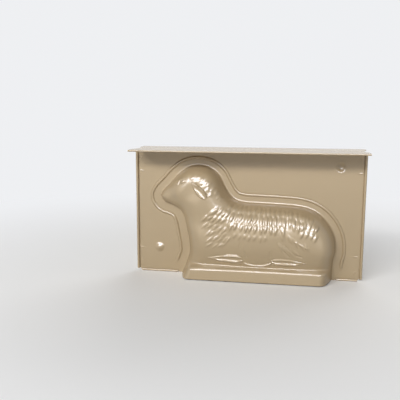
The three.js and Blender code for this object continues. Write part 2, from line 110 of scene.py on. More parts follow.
def outlineCurve(steps):
    # the same centripetal curve as in the part's source, with its outward normals
    knots = [np.array((x * lamb["length"], z * lamb["height"])) for x, z in outlineShares]
    knots = [2 * knots[0] - knots[1]] + knots + [2 * knots[-1] - knots[-2]]
    points, tangents = [], []
    for p0, p1, p2, p3 in zip(knots, knots[1:], knots[2:], knots[3:]):
        d0, d1, d2 = (math.sqrt(np.linalg.norm(b - a)) for a, b in ((p0, p1), (p1, p2), (p2, p3)))
        t1 = ((p1 - p0) / d0 - (p2 - p0) / (d0 + d1) + (p2 - p1) / d1) * d1
        t2 = ((p2 - p1) / d1 - (p3 - p1) / (d1 + d2) + (p3 - p2) / d2) * d1
        last = p3 is knots[-1]
        for i in range(steps + last):
            t = i / steps
            a, b = 2 * p1 - 2 * p2 + t1 + t2, 3 * p2 - 3 * p1 - 2 * t1 - t2
            points.append(p1 + t * (t1 + t * (b + t * a)))
            tangents.append(t1 + t * (2 * b + t * 3 * a))
    tangents = np.array(tangents)
    normals = np.stack([-tangents[:, 1], tangents[:, 0]], 1)
    normals[0], normals[-1] = (-1, 0), (1, 0)
    return np.array(points), normals / np.linalg.norm(normals, axis=1)[:, None]


outline, outlineNormals = outlineCurve(lamb["curveSteps"])
mouth = (outline[0][0], outline[-1][0])  # the plinth's two ends on the table
outlinePath = np.vstack([(outline[0][0], -tin["height"]), outline, (outline[-1][0], -tin["height"])])


def lineDistance(path, x, z):
    # distance from places on the plate to a line of straight pieces
    nearest = np.full(x.shape, np.inf)
    for (ax, az), (bx, bz) in zip(path, path[1:]):
        span = (bx - ax) ** 2 + (bz - az) ** 2
        t = np.clip(((x - ax) * (bx - ax) + (z - az) * (bz - az)) / span, 0, 1)
        nearest = np.minimum(nearest, (x - ax - t * (bx - ax)) ** 2 + (z - az - t * (bz - az)) ** 2)
    return np.sqrt(nearest)


def outlineDistance(x, z):
    inside = np.zeros(x.shape, bool)
    for (ax, az), (bx, bz) in zip(outlinePath, np.roll(outlinePath, -1, 0)):
        if az != bz:
            inside ^= ((az > z) != (bz > z)) & (x < ax + (bx - ax) * (z - az) / (bz - az))
    return np.where(inside, 1, -1) * lineDistance(outlinePath, x, z)


def smoothStep(low, high, value):
    t = np.clip((value - low) / (high - low), 0, 1)
    return t * t * (3 - 2 * t)


def wallDepth(distance, full, turn, wall):
    # a fillet that bends the plate into the wall, then a wall that turns over to its full depth
    fillet = lamb["rimFillet"]
    bent = fillet - np.sqrt(fillet ** 2 - np.clip(distance + rimHalf, 0, 2 * rimHalf) ** 2)
    rest = 1 - np.clip((distance - rimHalf) / turn, 0, 1)
    curl, power = wall
    return np.where(distance < rimHalf, bent, rimRise + (full - rimRise) * (1 - rest ** curl) ** power)


# the lamb's relief: leaf shapes for the legs, the ear and the eye, and fine lines
hollowFade = (0.1, 0.5)  # where along a leaf its hollow deepens
leaves = dict(
    foreleg=dict(start=(-43, 26.9), end=(-1, 27.1), halfWidth=4.9, rise=2, full=0.74, flat=4, hollow=0.8,
                 rim=(0.15, 0.72), fade=0.6),
    hindleg=dict(start=(73, 25.1), end=(30.9, 26.2), halfWidth=4.2, rise=1.9, full=0.72, flat=4, hollow=0.8,
                 rim=(0.15, 0.72), fade=0.6),
    ear=dict(start=(-64, 115), end=(-45.1, 96.3), halfWidth=5, rise=2.2, full=0.66, flat=5, hollow=0.7,
             rim=(0.25, 0.75), fade=0.3),
    eye=dict(start=(-77.4, 112.3), end=(-71.8, 116.3), halfWidth=1.9, rise=1.2, full=0.5, flat=2, hollow=0,
             rim=(0.25, 0.8), fade=0.6),
)
lines = [  # a ridge where the rise is positive, a crease where it is negative
    dict(points=[(-0.1, 22.6), (5.1, 20.6), (14.1, 19.5), (22.9, 20.2), (30.5, 23.3)], halfWidth=1.2,
         rise=0.9),
    dict(points=[(-33, 24.8), (-20, 23.5), (-4, 22.8)], halfWidth=1.5, rise=0.9),
    dict(points=[(62, 23.2), (50, 22.6), (35, 22.8)], halfWidth=1.4, rise=0.8),
    dict(points=[(-2.6, 26.4), (-1, 23.2), (-2.5, 19.8)], halfWidth=0.9, rise=-0.6),
    dict(points=[(32.4, 27), (31.4, 24.6), (33.2, 21.5)], halfWidth=0.9, rise=-0.5),
    dict(points=[(-80.6, 111), (-78.2, 115.6), (-73.4, 118.4)], halfWidth=1.2, rise=0.7),
    dict(points=[(-78.6, 110.6), (-74.6, 110.8), (-70.6, 113.6)], halfWidth=1, rise=-0.5),
    dict(points=[(-101.5, 97), (-98, 95.2), (-92, 95.6)], halfWidth=1.1, rise=-0.3),
    dict(points=[(-4, 46), (-4.2, 40)], halfWidth=1, rise=-0.45),
    dict(points=[(0.4, 37), (3, 30.5)], halfWidth=1, rise=-0.45),
    dict(points=[(29.5, 37.5), (29.8, 32)], halfWidth=1, rise=-0.4),
    dict(points=[(47, 45), (55, 36.5)], halfWidth=1.2, rise=-0.4),
    dict(points=[(45, 39), (51, 33)], halfWidth=1.1, rise=-0.35),
    dict(points=[(60, 34.5), (66, 33)], halfWidth=1.4, rise=-0.4),
    dict(points=[(58, 50), (70, 43.5)], halfWidth=1.3, rise=0.35),
]


def leafHalf(leaf, share):
    # a leaf's half width as a share of its greatest: pointed at its start and round at its end
    past = np.maximum(share - leaf["full"], 0) / (1 - leaf["full"])
    return np.sin(np.minimum(share / leaf["full"], 1) * math.pi / 2) * np.sqrt(1 - past * past)


def leafRise(leaf, x, z):
    start, end = np.array(leaf["start"]), np.array(leaf["end"])
    length = np.linalg.norm(end - start)
    along = (end - start) / length
    share = np.clip(((x - start[0]) * along[0] + (z - start[1]) * along[1]) / length, 0, 1)
    half = leafHalf(leaf, share)
    across = np.abs((x - start[0]) * along[1] - (z - start[1]) * along[0])
    v = np.minimum(across / np.maximum(half * leaf["halfWidth"], 1e-6), 1)
    hollow = leaf["hollow"] * (1 - smoothStep(*leaf["rim"], v)) * smoothStep(*hollowFade, share)
    return leaf["rise"] * half ** leaf["fade"] * (1 - v ** leaf["flat"]) * (1 - hollow)


def bump(away, halfWidth, rise, power=1.3):
    return rise * np.maximum(1 - (away / halfWidth) ** 2, 0) ** power


def ledgeRiseAt(x):
    share = smoothStep(mouth[0], sum(mouth) / 2, x)
    return lamb["ledgeRiseFront"] + (lamb["ledgeRiseRear"] - lamb["ledgeRiseFront"]) * share


def lambDepth(x, z):
    distance = outlineDistance(x, z)
    total = depth = turn = 0
    for xShare, zShare, depthShare, turnShare in formShares:
        away = np.hypot(xShare * lamb["length"] - x, zShare * lamb["height"] - z) / lamb["height"]
        weight = 1 / np.maximum(away, 1e-9) ** lamb["blendPower"]
        total = total + weight
        depth = depth + weight * depthShare * lamb["bodyDepth"]
        turn = turn + weight * turnShare * lamb["bodyTurn"]
    tucked = np.maximum(0, (lamb["bellyHeight"] - z) / (lamb["bellyHeight"] - lamb["ledgeHeight"])) ** 2
    body = wallDepth(distance, depth / total - lamb["bellyTuck"] * tucked, turn / total, lamb["bodyWall"])
    plinthTurn = np.where(x < sum(mouth) / 2, lamb["plinthTurnFront"], lamb["plinthTurnRear"])
    plinth = wallDepth(distance, lamb["plinthDepth"] - lamb["plinthDraft"] * z / lamb["ledgeHeight"],
                       plinthTurn, lamb["plinthWall"])
    hem = np.maximum(1 - z / lamb["hemHeight"], 0) ** 2 * smoothStep(*lamb["hemFade"], distance)
    plinth -= lamb["hemDepth"] * hem
    halfRise = ledgeRiseAt(x) / 2
    low, high = lamb["ledgeHeight"] - halfRise - lamb["ledgeLead"], lamb["ledgeHeight"] + halfRise
    above = np.interp((z - low) / (high - low), *ledgeShares)
    raised = np.maximum.reduce([leafRise(leaf, x, z) for leaf in leaves.values()])
    inside = smoothStep(*lamb["reliefFade"], distance)
    for line in lines:
        raised = raised + bump(lineDistance(line["points"], x, z), line["halfWidth"], line["rise"])
    return plinth * (1 - above) + (body + raised * inside) * above


halves = {
    "front": dict(node="front_half", slot="front_coating", side=-1, domeSign=1, nested=False),
    "rear": dict(node="rear_half", slot="rear_coating", side=1, domeSign=-1, nested=True),
}


def pressDepth(half, x, z):
    # how far the sheet's outer face stands out of the plate
    nest = tin["sheet"] + bead["clearance"] if half["nested"] else 0
    loss = bead["clearance"] if half["nested"] else 0
    start = bead["nestedStart"] if half["nested"] else bead["start"]
    sign = half["domeSign"]
    fromBead = outlineDistance(x - bead["shift"][0], z - bead["shift"][1]) + bead["offset"]
    depth = lambDepth(x, z) + smoothStep(start, start + bead["fadeIn"], z) \
        * bump(fromBead, bead["halfWidth"] - nest, sign * (bead["height"] - loss), bead["power"])
    depth += bump(np.hypot(x - pips["dome"][0], z - pips["dome"][1]), pips["radius"] - nest,
                  sign * (pips["height"] - loss))
    depth += bump(np.hypot(x - pips["dimple"][0], z - pips["dimple"][1]), pips["radius"] + nest,
                  -sign * (pips["height"] + loss))
    for tx, tz, degrees in ticks["places"]:
        reach = heading(math.radians(degrees)) * ticks["length"] / 2
        away = lineDistance([(tx, tz) - reach, (tx, tz) + reach], x, z)
        depth += bump(away, ticks["halfWidth"], ticks["rise"])
    return depth


# the wool: tufts on a die, pressed into the sheet from behind
wool = dict(seed=7, wander=0.5, swing=7, jitter=0.12, stretch=(0.88, 1.12), riseSpread=(0.75, 1.1),
            flowNear=4, flowPower=1.5, swell=0.62, fullness=0.7, riseEnd=0.45, dropStart=0.6, crest=2.4,
            gridLong=15, gridWide=11, rayHeight=1.0)
flow = [  # place and the way the tufts point there, in degrees from +X
    (-46, 74, 214), (-40, 50, 211), (-41, 43, 209), (-24, 51, 219), (-17, 51, 221), (-27, 57, 224),
    (-23, 61, 234), (-31, 81, 224), (-24, 78, 223), (-19, 71, 229), (-12, 62, 241), (-9, 73, 251),
    (-5, 71, 258), (2, 73, 250), (9, 71, 253), (16, 70, 252), (23, 66, 265), (28, 74, 270), (38, 68, 252),
    (41, 66, 285), (54, 66, 270), (50, 54, 306), (45, 55, 308), (63, 48, 325), (54, 38, 329), (66, 60, 236),
    (71, 54, 251), (80, 56, 246), (75, 68, 257), (81, 69, 250), (-57, 120, 210), (-53, 118, 224),
    (-43, 114, 222), (-36, 107, 222), (-33, 99, 227), (-28, 96, 226),
]
rows = [  # where the tufts' roots lie, how far apart, and the tufts' length, width and rise
    dict(roots=[(-14, 90), (6, 88), (34, 87), (58, 84), (76, 77)], step=5.2, size=(12, 5.2), rise=0.8),
    dict(roots=[(-12, 81), (8, 80), (30, 79), (50, 77.5), (68, 74)], step=5.2, size=(15, 5.4), rise=1.35),
    dict(roots=[(-14, 72), (4, 71), (24, 70), (44, 68)], step=5.6, size=(14, 5), rise=1.35),
    dict(roots=[(-10, 58.5), (8, 57.5), (24, 57)], step=5.8, size=(9, 4.4), rise=0.5),
    dict(roots=[(42, 62), (47, 60.5), (58, 54), (67, 50)], step=5.4, size=(15, 4.6), rise=0.5),
    dict(roots=[(38, 50), (46, 46), (54, 42)], step=6, size=(14, 3.8), rise=0.5),
    dict(roots=[(69, 76), (76, 73.5), (83, 70)], step=5.2, size=(12, 5), rise=1.1),
    dict(roots=[(67, 66), (75, 63), (84, 60)], step=5.4, size=(12, 5.2), rise=0.9),
    dict(roots=[(-33, 85), (-26, 88.5), (-17, 84)], step=5, size=(16, 5.4), rise=1.2),
    dict(roots=[(-41, 78.5), (-33, 78.5), (-24, 77), (-14, 76)], step=5.4, size=(15, 4.8), rise=1),
    dict(roots=[(-40, 70), (-30, 69), (-20, 66)], step=5.6, size=(14, 4.4), rise=0.75),
    dict(roots=[(-37, 61.5), (-27, 61), (-19, 59)], step=5.8, size=(14, 4), rise=0.7),
    dict(roots=[(-35, 54.5), (-25, 54.5), (-14.5, 55)], step=5.8, size=(14, 3.6), rise=0.7),
    dict(roots=[(-36, 46), (-28, 45), (-19, 47)], step=6.4, size=(12, 3.2), rise=0.6),
    dict(roots=[(-58, 122), (-52, 122.5), (-44, 119), (-37, 113), (-31, 105), (-26, 98)], step=5.6,
         size=(9, 5), rise=0.45),
    dict(roots=[(-55, 117), (-49, 116.5), (-42, 111), (-36, 104)], step=6, size=(8, 4.6), rise=0.35),
]


def tuftAngle(x, z):
    pull = np.zeros(2)
    for fx, fz, degrees in flow:
        away = (x - fx) ** 2 + (z - fz) ** 2 + wool["flowNear"]
        pull += heading(math.radians(degrees)) / away ** wool["flowPower"]
    return math.atan2(pull[1], pull[0])


def tuftRoots():
    chance = random.Random(wool["seed"])
    tufts = []
    for row in rows:
        knots = np.array(row["roots"], float)
        run = np.concatenate([[0], np.cumsum(np.linalg.norm(np.diff(knots, axis=0), axis=1))])
        for reach in np.arange(0, run[-1] + row["step"] / 2, row["step"]):
            reach = reach + chance.uniform(-wool["jitter"], wool["jitter"]) * row["step"]
            x, z = (np.interp(reach, run, knots[:, k]) + chance.uniform(-1, 1) * wool["wander"]
                    for k in (0, 1))
            turn = tuftAngle(x, z) + math.radians(chance.uniform(-1, 1) * wool["swing"])
            stretch = chance.uniform(*wool["stretch"])
            tufts.append(dict(place=(x, z), turn=turn, long=row["size"][0] * stretch,
                              wide=row["size"][1], rise=row["rise"] * chance.uniform(*wool["riseSpread"])))
    return tufts


tufts = tuftRoots()

# the pressed plate as a fine mesh: steps between its points, and how near two may lie
fine = dict(field=1.25, rowShare=0.866, fieldShare=0.6, plate=9, plateEnds=(5, 4), near=0.2, ringNear=0.3,
            wall=13, ringLowest=0.3, ringSlack=0.1, cornerBays=8, footLead=1.5, footStep=1.2,
            ringSteps=[-1.22, -0.8, -0.4, 0, 0.4, 0.8, 1.22, 1.7, 2.4, 3.2, 4.2, 5.4, 6.6, 7.8, 9, 10.3,
                       11.6, 13],
            beadSteps=11, beadMargins=(0.5, 1.4, 3), pipRings=7, pipSpokes=24, hemRows=3, hemStep=2,
            tickSteps=5, tickStep=0.5, ledgeSteps=11, ledgeEnds=(1.6, 1), ledgeStep=1.4, ledgeNear=0.4,
            tuft=0.62, tuftBay=1.3, tuftShare=0.7, leafStep=0.9,
            leafRows=(1.04, 0.97, 0.9, 0.8, 0.66, 0.5, 0.25, 0), lineStep=0.8,
            lineRows=(-1.1, -0.7, -0.35, 0, 0.35, 0.7, 1.1), same=1e-5)


class Blank:
    # points of the flat sheet; a new one is turned away when it lies too near another
    def __init__(self):
        self.points = []
        self.cells = {}

    def add(self, x, z, clearance):
        column, row = math.floor(x), math.floor(z)
        reach = math.ceil(clearance)
        for i in range(column - reach, column + reach + 1):
            for k in range(row - reach, row + reach + 1):
                for px, pz in self.cells.get((i, k), ()):
                    if (px - x) ** 2 + (pz - z) ** 2 < clearance * clearance:
                        return
        self.points.append((x, z))
        self.cells.setdefault((column, row), []).append((x, z))

    def addRow(self, start, end, spacing):
        bays = max(1, round(math.dist(start, end) / spacing))
        for i in range(bays + 1):
            self.add(start[0] + (end[0] - start[0]) * i / bays, start[1] + (end[1] - start[1]) * i / bays,
                     fine["near"])


def leafPlaces():
    # places in rows along each leaf, close together at its rim, and along each line
    places = []
    for leaf in leaves.values():
        start, end = np.array(leaf["start"]), np.array(leaf["end"])
        length = np.linalg.norm(end - start)
        along = (end - start) / length
        for share in np.linspace(0, 1, round(length / fine["leafStep"])):
            half = leafHalf(leaf, share) * leaf["halfWidth"]
            for v in fine["leafRows"]:
                for side in (-1, 1):
                    places.append(start + along * share * length + side * v * half * leftOf(along))
    for line in lines:
        for start, end in zip(line["points"], line["points"][1:]):
            length = math.dist(start, end)
            along = (np.array(end) - start) / length
            for reach in np.arange(0, length, fine["lineStep"]):
                for v in fine["lineRows"]:
                    places.append(np.array(start) + along * reach + v * line["halfWidth"] * leftOf(along))
    return [tuple(place) for place in places]


def tuftPlaces():
    # places in rows along each tuft
    places = []
    for tuft in tufts:
        along = heading(tuft["turn"])
        across = round(tuft["wide"] / fine["tuft"])
        for share in np.linspace(0, 1, round(tuft["long"] / fine["tuft"] / fine["tuftBay"])):
            half = math.sin(math.pi * share ** wool["swell"]) * tuft["wide"] / 2
            for v in np.linspace(-1, 1, across):
                places.append(np.array(tuft["place"]) + along * share * tuft["long"]
                              + v * half * leftOf(along))
    return [tuple(place) for place in places]


def addEdges(blank):
    # the plate's corners, sides and top, its rows along the feet, and the plinth's open bottom
    low, top = tin["footRoll"], plateTop - tin["lead"]
    for side in (-1, 1):
        for i in range(fine["cornerBays"] + 1):
            angle = i / fine["cornerBays"] * math.pi / 2
            blank.add(side * (plateHalf - tin["cornerRadius"] * (1 - math.cos(angle))),
                      low + tin["cornerRadius"] * (1 - math.sin(angle)), fine["near"])
        blank.addRow((side * plateHalf, lipBottom), (side * plateHalf, lipTop), fine["plate"])
        blank.addRow((side * plateHalf, top), (0, top), fine["plate"])
        inner = mouth[(side + 1) // 2]
        outer = inner + side * footStart
        blank.addRow((outer, low), (side * (plateHalf - tin["cornerRadius"]), low), fine["plate"])
        blank.addRow((outer - side * fine["footLead"], 0), (inner + side * rimHalf, 0), fine["footStep"])
        for step in fine["ringSteps"]:
            blank.add(inner - side * step, 0, fine["near"])
    blank.addRow((mouth[0] + fine["wall"], 0), (mouth[1] - fine["wall"], 0), fine["hemStep"])


def addRings(blank, half):
    # rings along the lamb's outline and along the bead, and round each pip
    beadHalf = bead["halfWidth"] - (tin["sheet"] + bead["clearance"] if half["nested"] else 0)
    count = fine["beadSteps"]
    rings = [(step, fine["ringLowest"], (0, 0)) for step in fine["ringSteps"]]
    rings += [(beadHalf * (2 * i / (count - 1) - 1) - bead["offset"], bead["start"], bead["shift"])
              for i in range(count)]
    rings += [(side * (beadHalf + margin) - bead["offset"], bead["start"] - margin, bead["shift"])
              for side in (-1, 1) for margin in fine["beadMargins"]]
    for distance, lowest, shift in rings:
        places = outline - outlineNormals * distance
        away = np.abs(outlineDistance(places[:, 0], places[:, 1]))
        for (x, z), isClear in zip(places + shift, away > abs(distance) - fine["ringSlack"]):
            if isClear and z > lowest:
                blank.add(x, z, fine["ringNear"])
    for centre in (pips["dome"], pips["dimple"]):
        blank.add(*centre, fine["ringNear"])
        for ring in range(1, fine["pipRings"] + 1):
            for i in range(fine["pipSpokes"]):
                angle = (i + ring % 2 / 2) / fine["pipSpokes"] * 2 * math.pi
                blank.add(centre[0] + ring * math.cos(angle), centre[1] + ring * math.sin(angle),
                          fine["near"])


def addRelief(blank):
    # the hem, the ticks, the ledge, and all that is raised on the lamb
    for row in range(1, fine["hemRows"] + 1):
        z = lamb["hemHeight"] * row / fine["hemRows"]
        for x in np.arange(mouth[0] + fine["wall"], mouth[1] - fine["wall"], fine["hemStep"]):
            blank.add(x, z, fine["near"])
        for step in fine["ringSteps"]:
            blank.add(mouth[0] + step, z, fine["near"])
            blank.add(mouth[1] - step, z, fine["near"])
    reach = range(-fine["tickSteps"], fine["tickSteps"] + 1)
    for tx, tz, _ in ticks["places"]:
        for i in reach:
            for k in reach:
                blank.add(tx + fine["tickStep"] * i, tz + fine["tickStep"] * k, fine["ringNear"])
    first, last = fine["ledgeEnds"]
    for x in np.arange(mouth[0] + first, mouth[1] - last, fine["ledgeStep"]):
        for i in range(fine["ledgeSteps"]):
            share = i / (fine["ledgeSteps"] - 1)
            height = lamb["ledgeHeight"] + ledgeRiseAt(x) * (share - 0.5)
            blank.add(x, height - lamb["ledgeLead"] * (1 - share), fine["ledgeNear"])
    for x, z in leafPlaces() + tuftPlaces():
        blank.add(x, z, fine["tuft"] * fine["tuftShare"])


def addField(blank):
    # an even field on the lamb, and a wide one on the rest of the plate
    step = fine["field"]
    xs, zs = [], []
    for row in range(1, int(lamb["height"] / step / fine["rowShare"])):
        for x in np.arange(-lamb["length"] / 2, lamb["length"] / 2, step):
            xs.append(x + row % 2 * step / 2)
            zs.append(row * step * fine["rowShare"])
    xs, zs = np.array(xs), np.array(zs)
    deep = outlineDistance(xs, zs) > fine["wall"]
    for x, z in zip(xs[deep], zs[deep]):
        blank.add(x, z, step * fine["fieldShare"])
    first, last = fine["plateEnds"]
    for row in range(1, int(tin["height"] / fine["plate"])):
        for x in np.arange(-plateHalf + first, plateHalf - last, fine["plate"]):
            blank.add(x, row * fine["plate"], fine["plate"] * fine["fieldShare"])


def pressedFaces(half):
    blank = Blank()
    addEdges(blank)
    addRings(blank, half)
    addRelief(blank)
    addField(blank)
    points = [Vector(place) for place in blank.points]
    places, _, faces, *_ = delaunay_2d_cdt(points, [], [], 0, fine["same"])
    x, z = np.array([p[:] for p in places]).T
    faces = np.array(faces)
    middleX, middleZ = x[faces].mean(1), z[faces].mean(1)
    beside = (middleX > mouth[0] - footStart) & (middleX < mouth[1] + footStart)
    keep = (middleZ > tin["footRoll"]) | beside
    depth = tin["sheet"] + pressDepth(half, x, z)
    # the plinth's hem stands a little clear of the table, between the feet
    inside = smoothStep(*lamb["hemFade"], outlineDistance(x, z))
    lift = inside * np.maximum(1 - z / lamb["hemReach"], 0)
    outer = np.stack([x, half["side"] * depth, z + lamb["hemLift"] * lift], 1)
    faces = faces[keep]
    return outer, faces if half["side"] < 0 else faces[:, ::-1]


def meshObject(name, points, faces=(), edges=()):
    mesh = bpy.data.meshes.new(name)
    mesh.from_pydata([tuple(p * mm for p in point) for point in points], edges,
                     [tuple(map(int, face)) for face in faces])
    mesh.validate()
    piece = bpy.data.objects.new(name, mesh)
    bpy.context.scene.collection.objects.link(piece)
    return piece


# node trees
class Wire:
    # a socket that can be used in a sum
    def __init__(self, tree, socket):
        self.tree, self.socket = tree, socket

    def out(self, name):
        return Wire(self.tree, self.socket.node.outputs[name])

    def maths(self, operation, other, swapped=False):
        pair = (other, self) if swapped else (self, other)
        return self.tree.add("ShaderNodeMath", dict(operation=operation), dict(enumerate(pair)))

    def __add__(self, other):
        return self.maths("ADD", other)

    def __sub__(self, other):
        return self.maths("SUBTRACT", other)

    def __rsub__(self, other):
        return self.maths("SUBTRACT", other, True)

    def __mul__(self, other):
        return self.maths("MULTIPLY", other)

    def __pow__(self, other):
        return self.maths("POWER", other)

    def __rpow__(self, other):
        return self.maths("POWER", other, True)

    __radd__, __rmul__ = __add__, __mul__


class NodeTree:
    def __init__(self, tree):
        self.tree = tree

    def add(self, kind, settings={}, inputs={}, output=0):
        node = self.tree.nodes.new(kind)
        for name, value in settings.items():
            setattr(node, name, value)
        for name, value in inputs.items():
            if isinstance(value, Wire):
                self.tree.links.new(value.socket, node.inputs[name])
            else:
                node.inputs[name].default_value = value
        return Wire(self, node.outputs[output]) if node.outputs else None


class GeometryTree(NodeTree):
    # a Geometry Nodes tree with named inputs, run on one object at a time
    def __init__(self, name, sockets):
        super().__init__(bpy.data.node_groups.new(name, "GeometryNodeTree"))
        self.ids = {}
        interface = self.tree.interface
        interface.new_socket("Geometry", in_out="INPUT", socket_type="NodeSocketGeometry")
        interface.new_socket("Geometry", in_out="OUTPUT", socket_type="NodeSocketGeometry")
        for socketName, kind in sockets.items():
            socket = interface.new_socket(socketName, in_out="INPUT", socket_type="NodeSocket" + kind)
            self.ids[socketName] = socket.identifier
        self.given = self.add("NodeGroupInput")

    def finishWith(self, geometry):
        material = self.given.out("Material")
        last = self.add("GeometryNodeRealizeInstances", {}, {"Geometry": geometry})
        last = self.add("GeometryNodeSetMaterial", {}, {"Geometry": last, "Material": material})
        self.add("NodeGroupOutput", {}, {"Geometry": last})

    def run(self, piece, values):
        modifier = piece.modifiers.new(self.tree.name, "NODES")
        modifier.node_group = self.tree
        for name, value in values.items():
            modifier[self.ids[name]] = value
        shaped = piece.evaluated_get(bpy.context.evaluated_depsgraph_get())
        mesh = bpy.data.meshes.new_from_object(shaped)
        piece.modifiers.remove(modifier)
        bpy.data.objects.remove(piece)
        return mesh


weldDistance = 1e-6


def thicken(tree, skin, sheet):
    # outer face as given, inner face one sheet behind it, and a band round the edge
    inner = tree.add("GeometryNodeExtrudeMesh", dict(mode="FACES"),
                     {"Mesh": skin, "Offset Scale": -1 * sheet, "Individual": False})
    inner = tree.add("GeometryNodeFlipFaces", {}, {"Mesh": inner})
    both = tree.add("GeometryNodeJoinGeometry", {}, {"Geometry": skin})
    tree.tree.links.new(inner.socket, both.socket.node.inputs["Geometry"])
    return tree.add("GeometryNodeMergeByDistance", {}, {"Geometry": both, "Distance": weldDistance})


print("scene: shapes and node helpers ready")


# the coating
coating = dict(colour=(0.43, 0.334, 0.208), dark=(0.395, 0.302, 0.181), metallic=0.17, roughness=0.5,
               flakeScale=5200, peelScale=900, cloudScale=22, detail=3.0, cloudTint=0.5, flakeTint=0.3,
               cloudRough=0.08, flakeRough=0.12, bumpDepth=0.00002, bumpStrength=0.5, flakeBump=0.5,
               coat=1.0, coatRoughness=0.22, coatIor=1.58)


def coatingMaterial(name):
    material = bpy.data.materials.new(name)
    material.use_nodes = True
    material.node_tree.nodes.clear()
    tree = NodeTree(material.node_tree)
    place = tree.add("ShaderNodeTexCoord", output="Object")
    flakes, peel, clouds = (
        tree.add("ShaderNodeTexNoise", {},
                 {"Vector": place, "Scale": coating[key], "Detail": coating["detail"]})
        for key in ("flakeScale", "peelScale", "cloudScale"))
    tint = tree.add("ShaderNodeMix", dict(data_type="RGBA"),
                    {0: clouds * coating["cloudTint"] + flakes * coating["flakeTint"],
                     6: (*coating["dark"], 1), 7: (*coating["colour"], 1)}, 2)
    rough = coating["roughness"] + (clouds - 0.5) * coating["cloudRough"] \
        + (flakes - 0.5) * coating["flakeRough"]
    grain = tree.add("ShaderNodeBump", {}, {"Strength": coating["bumpStrength"],
                                            "Distance": coating["bumpDepth"],
                                            "Height": peel + flakes * coating["flakeBump"]})
    shader = tree.add("ShaderNodeBsdfPrincipled", {}, {
        "Base Color": tint, "Roughness": rough, "Metallic": coating["metallic"], "Normal": grain,
        "Specular IOR Level": 0.0, "Coat Weight": coating["coat"],
        "Coat Roughness": coating["coatRoughness"], "Coat IOR": coating["coatIor"]})
    tree.add("ShaderNodeOutputMaterial", {}, {"Surface": shader})
    return material


for half in halves.values():
    half["coating"] = coatingMaterial(half["slot"])


# the wool is pressed into the sheet from behind
def woolTree():
    tree = GeometryTree("pressWool", {"Die": "Object", "Sheet": "Float", "Material": "Material"})
    given = tree.given
    # one tuft, from its root at x = 0 to its tip at x = 1, laid flat with its rise along z
    grid = tree.add("GeometryNodeMeshGrid", {}, {
        "Size X": 1.0, "Size Y": 1.0, "Vertices X": wool["gridLong"], "Vertices Y": wool["gridWide"]})
    position = tree.add("GeometryNodeInputPosition")
    axes = tree.add("ShaderNodeSeparateXYZ", {}, {0: position})
    along = axes + 0.5
    across = axes.out("Y") * 2
    swell = (along ** wool["swell"] * math.pi).maths("SINE", 0) ** wool["fullness"]
    steep = tree.add("ShaderNodeMapRange", dict(interpolation_type="SMOOTHSTEP"),
                     {"Value": along, "From Min": 0.0, "From Max": wool["riseEnd"]})
    drop = tree.add("ShaderNodeMapRange", dict(interpolation_type="SMOOTHSTEP"),
                    {"Value": along, "From Min": 1.0, "From Max": wool["dropStart"]})
    ridge = 1 - across.maths("ABSOLUTE", 0) ** wool["crest"]
    rise = ridge * steep * drop
    shape = tree.add("ShaderNodeCombineXYZ", {}, {0: along, 1: across * 0.5 * swell, 2: rise})
    tuft = tree.add("GeometryNodeSetPosition", {}, {"Geometry": grid, "Position": shape})
    # tufts stand on the die's points, each turned along its flow
    die = tree.add("GeometryNodeObjectInfo", {}, {"Object": given.out("Die")}, "Geometry")
    named = {name: tree.add("GeometryNodeInputNamedAttribute", dict(data_type="FLOAT"), {"Name": name})
             for name in ("turn", "long", "wide", "rise")}
    turned = tree.add("ShaderNodeCombineXYZ", {}, {2: named["turn"]})
    scaled = tree.add("ShaderNodeCombineXYZ", {}, {0: named["long"], 1: named["wide"], 2: named["rise"]})
    tufts = tree.add("GeometryNodeInstanceOnPoints", {}, {"Points": die, "Instance": tuft,
                                                          "Rotation": turned, "Scale": scaled})
    tufts = tree.add("GeometryNodeRealizeInstances", {}, {"Geometry": tufts})
    # each point of the sheet looks down on the flat die, and rises by what it finds
    place = tree.add("ShaderNodeSeparateXYZ", {}, {0: position})
    above = tree.add("ShaderNodeCombineXYZ", {}, {0: place, 1: place.out("Z"), 2: wool["rayHeight"]})
    ray = tree.add("GeometryNodeRaycast", dict(data_type="FLOAT"),
                   {"Target Geometry": tufts, "Source Position": above, "Ray Direction": (0, 0, -1),
                    "Ray Length": 2 * wool["rayHeight"]})
    found = wool["rayHeight"] - ray.out("Hit Distance")
    lift = found * ray.out("Is Hit")
    normal = tree.add("GeometryNodeInputNormal")
    offset = tree.add("ShaderNodeVectorMath", dict(operation="SCALE"), {0: normal, "Scale": lift})
    sheet = tree.add("GeometryNodeSetPosition", {}, {"Geometry": given, "Offset": offset})
    tree.finishWith(thicken(tree, sheet, given.out("Sheet")))
    return tree


def makeDie(tufts):
    die = meshObject("woolDie", [])
    die.data.vertices.add(len(tufts))
    die.data.vertices.foreach_set("co", [v * mm for tuft in tufts for v in (*tuft["place"], 0)])
    for name in ("turn", "long", "wide", "rise"):
        attribute = die.data.attributes.new(name, "FLOAT", "POINT")
        unit = 1 if name == "turn" else mm
        attribute.data.foreach_set("value", [tuft[name] * unit for tuft in tufts])
    print("scene: wool tufts", len(tufts))
    return die


# folds: flange, feet and lips, swept along the plate's straight edges
def foldLine(moves):
    # the outer face of a bent strip, drawn by a pen that starts at the plate's outer face and heads
    # away from it, with the sheet on its right
    pen, angle = np.array((0, tin["sheet"]), float), 0
    points = [pen]
    for kind, amount, degrees in moves:
        steps = 1 if kind == "run" else max(2, round(abs(degrees) / 90 * tin["bendSteps"]))
        for _ in range(steps):
            if kind == "run":
                pen = pen + heading(angle) * amount
            else:
                side = math.copysign(amount, degrees)
                centre = pen + side * leftOf(heading(angle))
                angle += math.radians(degrees) / steps
                pen = centre - side * leftOf(heading(angle))
            points.append(pen)
    return points


